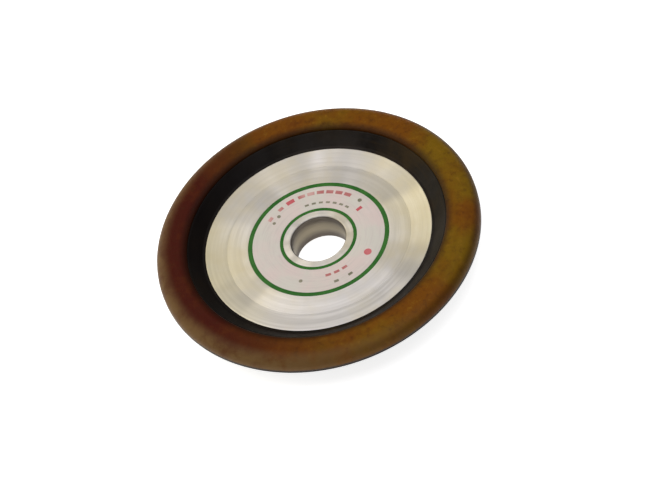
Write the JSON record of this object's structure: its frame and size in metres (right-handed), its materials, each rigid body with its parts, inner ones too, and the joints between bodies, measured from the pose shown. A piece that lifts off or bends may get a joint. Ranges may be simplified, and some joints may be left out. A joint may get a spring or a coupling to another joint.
{
  "type": "diamond grinding wheel",
  "caption": "Dish-shaped diamond grinding wheel: turned aluminium hub with a central bore, dark moulded dish and a raised amber abrasive rim.",
  "frame": {"origin": "centre of the spindle bore at the hub's back face", "axes": "+Z along the spindle axis, out of the grinding side; X and Y lie in the back face, and the wheel is the same all round"},
  "size_m": [0.15, 0.15, 0.022],
  "materials": {
    "hub_aluminium": "fine-turned, bright, with concentric tool marks",
    "dish_resin": "moulded dark phenolic resin, satin, faintly mottled",
    "backing_resin": "plain brown resin, fine-grained",
    "diamond_resin": "amber resin filled with fine diamond grit, satin gloss, mottled ochre and rust",
    "green_lacquer": "smooth green lacquer line",
    "label_coat": "thin pale mat coat over the turned face",
    "print_ink": "thin faded ink of the plain printed marks on the label"
  },
  "bodies": {
    "root": {"hub_disc": "hub_aluminium", "dish_body": "dish_resin", "backing_layer": "backing_resin", "diamond_ring": "diamond_resin", "inner_green_ring": "green_lacquer", "label_ring": "label_coat", "outer_green_ring": "green_lacquer"}
  },
  "joints": []
}
